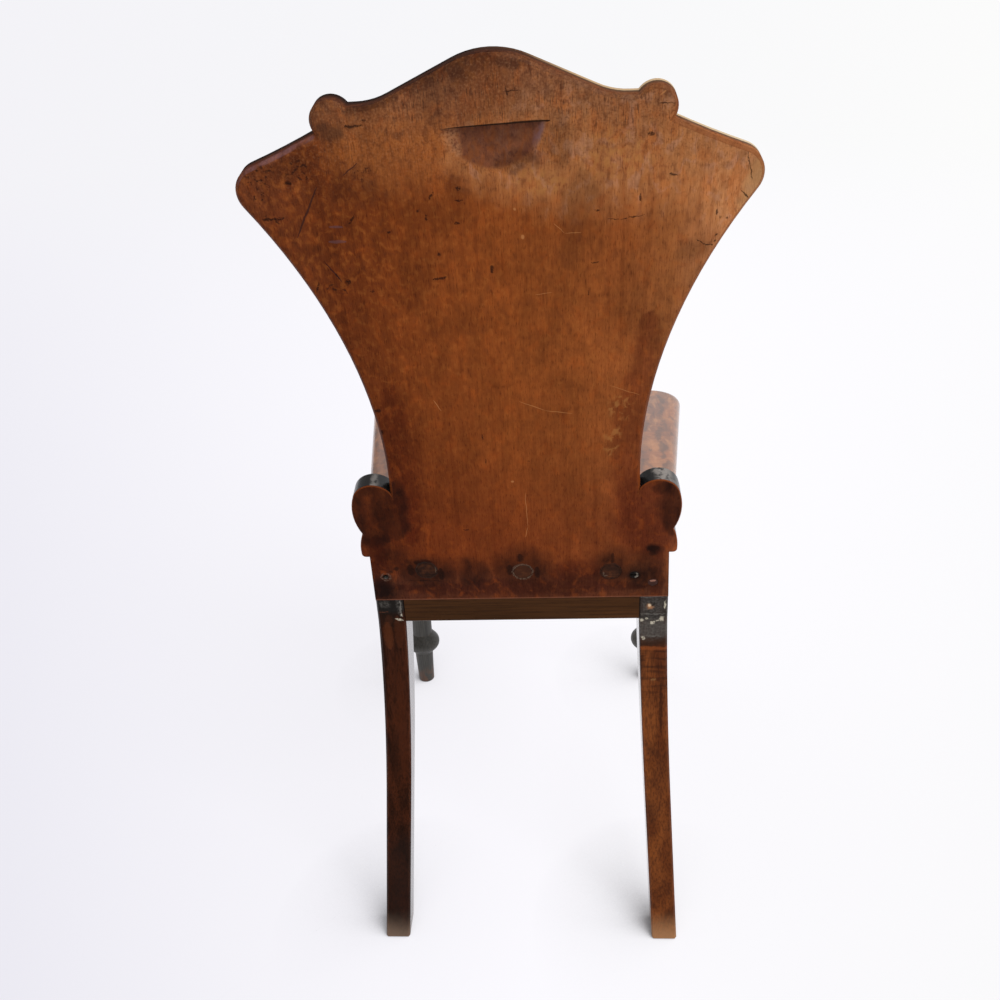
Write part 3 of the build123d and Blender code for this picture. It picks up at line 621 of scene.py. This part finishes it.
colour = laid(tree, colour, chips, 0.35, "7E6A5A")
polish(tree, colour, streaks, roughness=0.45, coat=0.0, coat_roughness=0.3, shine=0.1)
tree, place = finish_for("pink_plug_wood", "leg_head_plug")
colour, streaks = grained(tree, place, "X", "2A140E", "3E2018", "4A281E", strength=0.4)
flat = roughened(tree, on_rear_face(tree, place), scale=300.0, reach=0.003)
colour = laid(tree, colour, gathered(tree, flat, ((129.5, 22.0, 135.5, 22.6, 2.2),)), 0.9, "A4705C")
polish(tree, colour, streaks, roughness=0.5, coat=0.0, coat_roughness=0.4, shine=0.3)
tree, place = finish_for("old_screw_steel", "back_screws", "repair_screw")
rust = figure(tree, place, 0.002, 0.002, "Z", detail=4.0)
colour = tint(tree, fade(tree, rust, 0.40, 0.65), shade("2A2522"), shade("1E1612"))
flat = roughened(tree, on_rear_face(tree, place), scale=400.0, reach=0.002)
repair_screw = (113.6, 30.6)
glint = ring(tree, flat, *repair_screw, radius=3.4, width=1.2)
glint = both(tree, glint, patch(tree, flat, *oval(117, 29, 6, 9), soft=0.6))
colour = laid(tree, colour, glint, 0.9, "B8AC9C")
polish(tree, colour, rust, roughness=0.42, coat=0.0, coat_roughness=0.3)
tree.nodes["Principled BSDF"].inputs["Metallic"].default_value = 0.6

# The studio: a white paper floor that runs out of sight, one broad soft lamp from the
# right behind the chair, and a pale room all round. To the eye the paper is nearly as
# white as the room; both are painted greyer at the left as shade, and the paper has a
# soft shadow on the left of each foot.

floor_reach = 30.0
ground = bpy.data.meshes.new("studio_floor")
shape = bmesh.new()
bmesh.ops.create_grid(shape, x_segments=1, y_segments=1, size=floor_reach)
shape.to_mesh(ground)
shape.free()
floor = bpy.data.objects.new("studio_floor", ground)
bpy.context.scene.collection.objects.link(floor)
paper = bpy.data.materials.new("white_paper")
paper.use_nodes = True
ground.materials.append(paper)
tree = paper.node_tree
tree.nodes.remove(tree.nodes["Principled BSDF"])
seen = add(tree, "LightPath")
place = add(tree, "TexCoord").outputs["Object"]
spot = add(tree, "SeparateXYZ", {0: place})
unlit = both(tree, seen.outputs["Is Glossy Ray"], fade(tree, spot.outputs["Y"], 0.14, 0.34))
direct = reckon(tree, "MAXIMUM", seen.outputs["Is Camera Ray"], seen.outputs["Is Glossy Ray"])
direct = reckon(tree, "SUBTRACT", direct, unlit)
ahead = reckon(tree, "SUBTRACT", 1.0, spot.outputs["Y"])
squared = add(tree, "Math", {0: ahead, 1: ahead, 2: 0.25}, operation="MULTIPLY_ADD").outputs[0]
side = reckon(tree, "DIVIDE", spot.outputs["X"], reckon(tree, "SQRT", squared))
right_edge, left_edge = 0.7, -0.7
from_left = spread(tree, side, 0.0, 1.0, start=right_edge, end=left_edge)
paper_colour = tint(tree, direct, shade("F6F5F8"), shade("7E7D80"))
paper_colour = tint(tree, unlit, paper_colour, shade("202022"))
lit = add(tree, "BsdfDiffuse", {"Color": paper_colour}).outputs[0]
away = add(tree, "VectorMath", {0: place}, operation="LENGTH").outputs["Value"]
far_off = fade(tree, away, 0.9, 6.4)
# The paper's tones fall greyer to the left: painted shade.
near_tones = ((0.0, "CFCED6"), (0.25, "DCDBE0"), (0.5, "E6E5E9"), (1.0, "E1E1E0"))
far_tones = ((0.0, "F2F1F6"), (0.5, "F8F8FA"), (1.0, "FEFEFC"))
lift_colour = toned(tree, from_left, near_tones)
shadow_lean = {"X": -0.70, "Y": 0.50, "Z": 0.51}
to_lamp = add(tree, "CombineXYZ", shadow_lean).outputs[0]
shadow_reach = 0.13
inputs = {"Normal": to_lamp, "Distance": shadow_reach}
open_air = add(tree, "AmbientOcclusion", inputs, samples=8).outputs["AO"]
lift_strength = both(tree, direct, fade(tree, open_air, 0.22, 1.0))
glow_colour = toned(tree, from_left, far_tones)
glow = add(tree, "Emission", {"Color": glow_colour, "Strength": 1.0}).outputs[0]
lift = add(tree, "Emission", {"Color": lift_colour, "Strength": lift_strength}).outputs[0]
lifted = add(tree, "AddShader", {0: lit, 1: lift}).outputs[0]
amount = both(tree, direct, far_off)
paper_look = add(tree, "MixShader", {0: amount, 1: lifted, 2: glow}).outputs[0]
tree.links.new(paper_look, tree.nodes["Material Output"].inputs["Surface"])

# The room is brighter beyond the chair than behind the camera.
room = bpy.data.worlds.new("pale_room")
bpy.context.scene.world = room
room.use_nodes = True
tree = room.node_tree
seen = add(tree, "LightPath")
towards = add(tree, "SeparateXYZ", {0: add(tree, "TexCoord").outputs["Generated"]})
backdrop = fade(tree, towards.outputs["Y"], 0.45, -0.25)
lit_side = spread(tree, fade(tree, towards.outputs["X"], 0.5, -0.3), 0.35, 1.0)
even = spread(tree, backdrop, 0.46, 0.95)
mirrored = both(tree, backdrop, lit_side)
gap = reckon(tree, "SUBTRACT", mirrored, even)
inputs = {0: seen.outputs["Is Glossy Ray"], 1: gap, 2: even}
strength = add(tree, "Math", inputs, operation="MULTIPLY_ADD").outputs[0]
soft_room = add(tree, "Background", {"Color": shade("F6F6F8"), "Strength": strength}).outputs[0]
side = reckon(tree, "DIVIDE", towards.outputs["X"], reckon(tree, "ABSOLUTE", towards.outputs["Y"]))
from_left = spread(tree, side, 0.0, 1.0, start=right_edge, end=left_edge)
# Seen straight, the room is painted a little greyer to the left as shade, like the paper.
room_colour = toned(tree, from_left, far_tones)
white_room = add(tree, "Background", {"Color": room_colour, "Strength": 1.0}).outputs[0]
inputs = {0: seen.outputs["Is Camera Ray"], 1: soft_room, 2: white_room}
room_look = add(tree, "MixShader", inputs).outputs[0]
tree.links.new(room_look, tree.nodes["World Output"].inputs["Surface"])

# The lamp is broad, so that its shadows have soft edges.
lamp = bpy.data.lights.new("broad_lamp", "SUN")
lamp.energy = 1.5
lamp.angle = math.radians(44)
lamp_stand = bpy.data.objects.new("broad_lamp", lamp)
lamp_throw = Vector((0.66, -0.70, -0.92))
lamp_stand.rotation_euler = lamp_throw.to_track_quat("-Z", "Y").to_euler()
bpy.context.scene.collection.objects.link(lamp_stand)
bpy.context.scene.view_settings.view_transform = "Standard"

# The camera stands behind the chair, above its crest, and looks down at the seat.

camera_place = (-0.04339, 0.95667, 0.91056)
aim = Vector((0.06296, -0.88364, -0.46392))
rightwards = Vector((-0.99781, -0.04627, -0.04729))
upwards = rightwards.cross(aim).normalized()
rightwards = aim.cross(upwards).normalized()
lens = bpy.data.cameras.new("studio_camera")
lens.sensor_width = 36.0
lens.lens = 35.025
camera = bpy.data.objects.new("studio_camera", lens)
stand = Matrix((rightwards, upwards, -aim)).transposed().to_4x4()
stand.translation = camera_place
camera.matrix_world = stand
bpy.context.scene.collection.objects.link(camera)
bpy.context.scene.camera = camera
